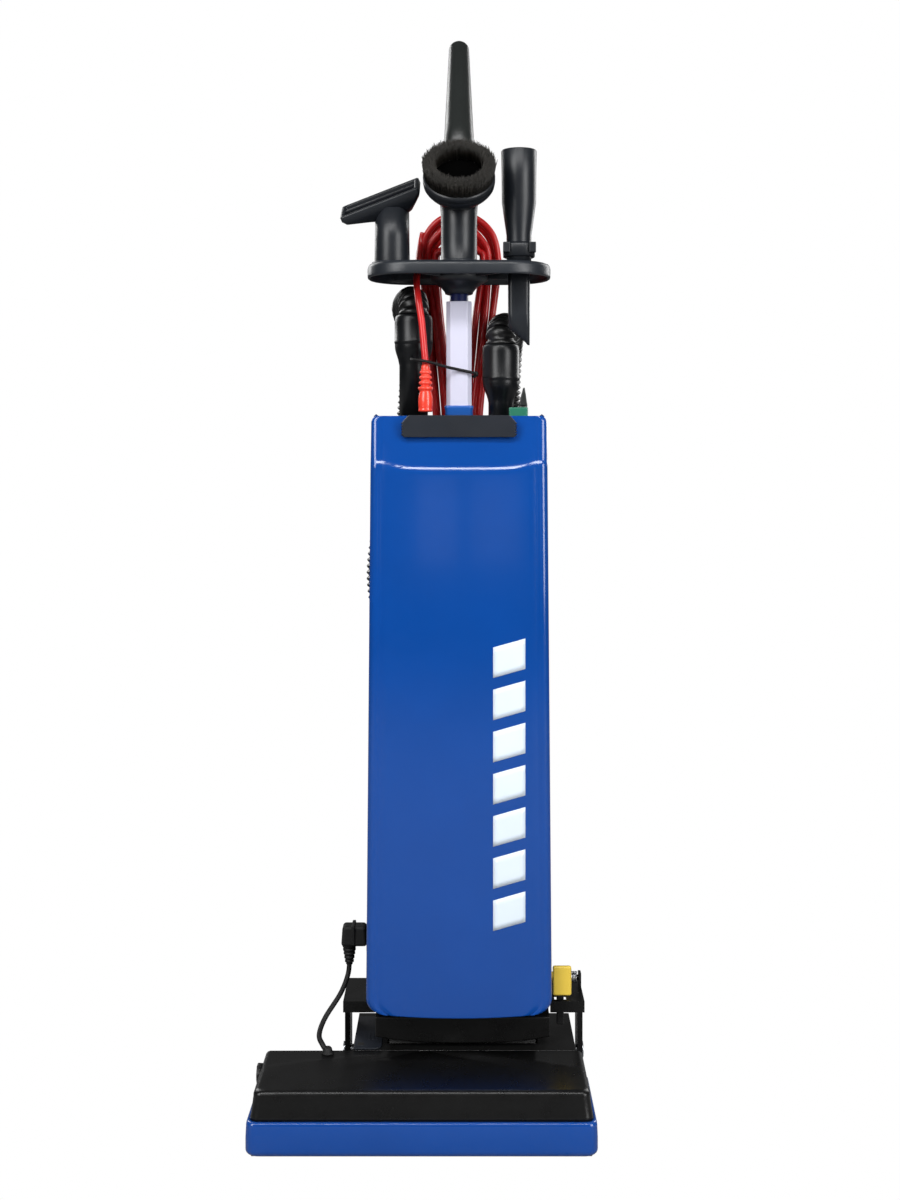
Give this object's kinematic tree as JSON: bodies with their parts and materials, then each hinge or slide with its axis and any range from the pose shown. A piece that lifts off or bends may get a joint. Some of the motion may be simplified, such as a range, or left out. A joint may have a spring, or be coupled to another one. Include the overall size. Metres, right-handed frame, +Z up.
{
  "type": "upright_vacuum_cleaner",
  "caption": "Upright commercial vacuum cleaner with blue front cover, wide floor head, tool caddy with crevice, upholstery and dusting tools, rear hose and coiled red cord",
  "frame": {"origin": "on the floor under the middle of the object's footprint", "axes": "+Z up, the front faces -Y, +X to the right seen from the front"},
  "size_m": [0.368, 0.328, 1.2547],
  "materials": {
    "blue_gloss": "glossy moulded blue",
    "black_cover": "satin-gloss black moulding",
    "grey_plate": "fine-grained dark grey",
    "dark_plastic": "moulded black, matt",
    "tool_plastic": "satin charcoal moulding",
    "grip_plastic": "satin black with slight sheen",
    "black_rubber": "matt black rubber",
    "hose_plastic": "corrugated flexible black",
    "bristle_fibre": "dense dark brown-black bristle",
    "bright_steel": "zinc-plated",
    "motor_metal": "cast and turned",
    "brush_core_metal": "extruded, dull",
    "tube_aluminium": "satin white-anodised",
    "blue_fitting": "moulded blue",
    "green_base": "translucent-looking green",
    "yellow_pedal": "satin yellow",
    "red_cord": "smooth red cable sheath",
    "red_plug": "moulded bright red",
    "bag_paper": "creased paper bag",
    "filter_fleece": "pleated white fleece"
  },
  "bodies": {
    "head": {"head_base": "dark_plastic", "head_cover": "black_cover", "bumper": "blue_gloss", "rear_housing": "black_cover", "service_plate": "grey_plate", "swivel_drum": "dark_plastic", "brush_motor": "motor_metal", "drive_belt": "black_rubber", "brush_bearings": "dark_plastic", "pivot_pins": "bright_steel", "rear_axles": "bright_steel", "head_screws": "bright_steel"},
    "motor_rotor": {"motor_pulley": "bright_steel"},
    "brush_roll": {"brush_core": "brush_core_metal", "brush_bristles": "bristle_fibre"},
    "wheel_left": {"rear_wheel_left": "black_rubber"},
    "wheel_right": {"rear_wheel_right": "black_rubber"},
    "carriage": {"roller_carriage": "dark_plastic"},
    "roller_left": {"front_roller_left": "dark_plastic"},
    "roller_right": {"front_roller_right": "dark_plastic"},
    "knob": {"height_knob": "dark_plastic"},
    "cord_hook": {"upper_cord_hook": "dark_plastic"},
    "pedal": {"release_pedal": "yellow_pedal", "pedal_spring": "bright_steel"},
    "fan": {"vacuum_fan": "motor_metal"},
    "cover": {"front_cover": "blue_gloss"},
    "latch": {"cover_latch": "grey_plate"},
    "switch": {"power_switch": "grip_plastic"},
    "crevice": {"crevice_tool": "tool_plastic"},
    "upholstery": {"upholstery_tool": "tool_plastic"},
    "duster": {"dusting_brush": "tool_plastic", "dusting_bristles": "bristle_fibre"},
    "upper": {"yoke": "black_cover", "neck": "black_cover", "body_shell": "black_cover", "partition": "dark_plastic", "cover_gasket": "black_rubber", "filter_bag": "bag_paper", "motor_filter": "filter_fleece", "vacuum_motor": "motor_metal", "motor_rings": "black_rubber", "exhaust_filter": "filter_fleece", "riser_tube": "dark_plastic", "inlet_elbow": "dark_plastic", "hose": "hose_plastic", "wand_cuff": "tool_plastic", "inlet_cuff": "tool_plastic", "switch_base": "green_base", "handle_tube": "tube_aluminium", "lower_collar": "blue_fitting", "upper_spigot": "blue_fitting", "caddy": "tool_plastic", "grip": "grip_plastic", "handle_screws": "bright_steel", "power_cord": "red_cord", "cord_plug": "red_plug", "lower_cord_hook": "dark_plastic", "cord_tie": "black_rubber", "pigtail_plug": "black_rubber", "pigtail_cord": "black_rubber"}
  },
  "joints": [
    {"name": "recline", "type": "hinge", "parent": "head", "child": "upper", "pos_m": [0.044, 0.025, 0.045], "axis": [-1, 0, 0], "range_deg": [0, 75]},
    {"name": "brush_spin", "type": "hinge", "parent": "head", "child": "brush_roll", "pos_m": [0, -0.116, 0.027], "axis": [1, 0, 0], "continuous": true},
    {"name": "motor_spin", "type": "hinge", "parent": "head", "child": "motor_rotor", "pos_m": [0, -0.064, 0.044], "axis": [1, 0, 0], "continuous": true},
    {"name": "wheel_left_roll", "type": "hinge", "parent": "head", "child": "wheel_left", "pos_m": [-0.065, 0.052, 0.025], "axis": [1, 0, 0], "continuous": true},
    {"name": "wheel_right_roll", "type": "hinge", "parent": "head", "child": "wheel_right", "pos_m": [0.155, 0.052, 0.025], "axis": [1, 0, 0], "continuous": true},
    {"name": "carriage_lift", "type": "slide", "parent": "head", "child": "carriage", "axis": [0, 0, 1], "range_m": [-0.003, 0.003]},
    {"name": "knob_turn", "type": "hinge", "parent": "head", "child": "knob", "pos_m": [-0.176, -0.075, 0.059], "axis": [1, 0, 0], "range_deg": [-90, 90]},
    {"name": "roller_left_roll", "type": "hinge", "parent": "carriage", "child": "roller_left", "pos_m": [-0.1, -0.07, 0.01], "axis": [1, 0, 0], "continuous": true},
    {"name": "roller_right_roll", "type": "hinge", "parent": "carriage", "child": "roller_right", "pos_m": [0.1, -0.07, 0.01], "axis": [1, 0, 0], "continuous": true},
    {"name": "pedal_press", "type": "hinge", "parent": "upper", "child": "pedal", "pos_m": [0.155, 0.02, 0.131], "axis": [1, 0, 0], "range_deg": [0, 10]},
    {"name": "fan_spin", "type": "hinge", "parent": "upper", "child": "fan", "pos_m": [0.059, 0.025, 0.26], "axis": [0, 0, 1], "continuous": true},
    {"name": "cover_open", "type": "hinge", "parent": "upper", "child": "cover", "pos_m": [0.039, -0.05, 0.111], "axis": [1, 0, 0], "range_deg": [0, 60]},
    {"name": "latch_pull", "type": "hinge", "parent": "cover", "child": "latch", "pos_m": [0.039, -0.0425, 0.784], "axis": [-1, 0, 0], "range_deg": [0, 20]},
    {"name": "switch_rock", "type": "hinge", "parent": "upper", "child": "switch", "pos_m": [0.114, 0.017, 0.795], "axis": [1, 0, 0], "range_deg": [-8, 8]},
    {"name": "cord_hook_turn", "type": "hinge", "parent": "upper", "child": "cord_hook", "pos_m": [0.039, 0.09, 0.985], "axis": [0, 1, 0], "range_deg": [-180, 180]},
    {"name": "crevice_lift", "type": "slide", "parent": "upper", "child": "crevice", "axis": [0, 0, 1], "range_m": [0, 0.12]},
    {"name": "upholstery_lift", "type": "slide", "parent": "upper", "child": "upholstery", "axis": [0, 0, 1], "range_m": [0, 0.06]},
    {"name": "duster_lift", "type": "slide", "parent": "upper", "child": "duster", "axis": [0, 0, 1], "range_m": [0, 0.06]}
  ],
  "couplings": [
    {"joint": "motor_spin", "follows": "brush_spin", "ratio": 1.5},
    {"joint": "carriage_lift", "follows": "knob_turn", "m_per_rad": 0.0019099}
  ]
}
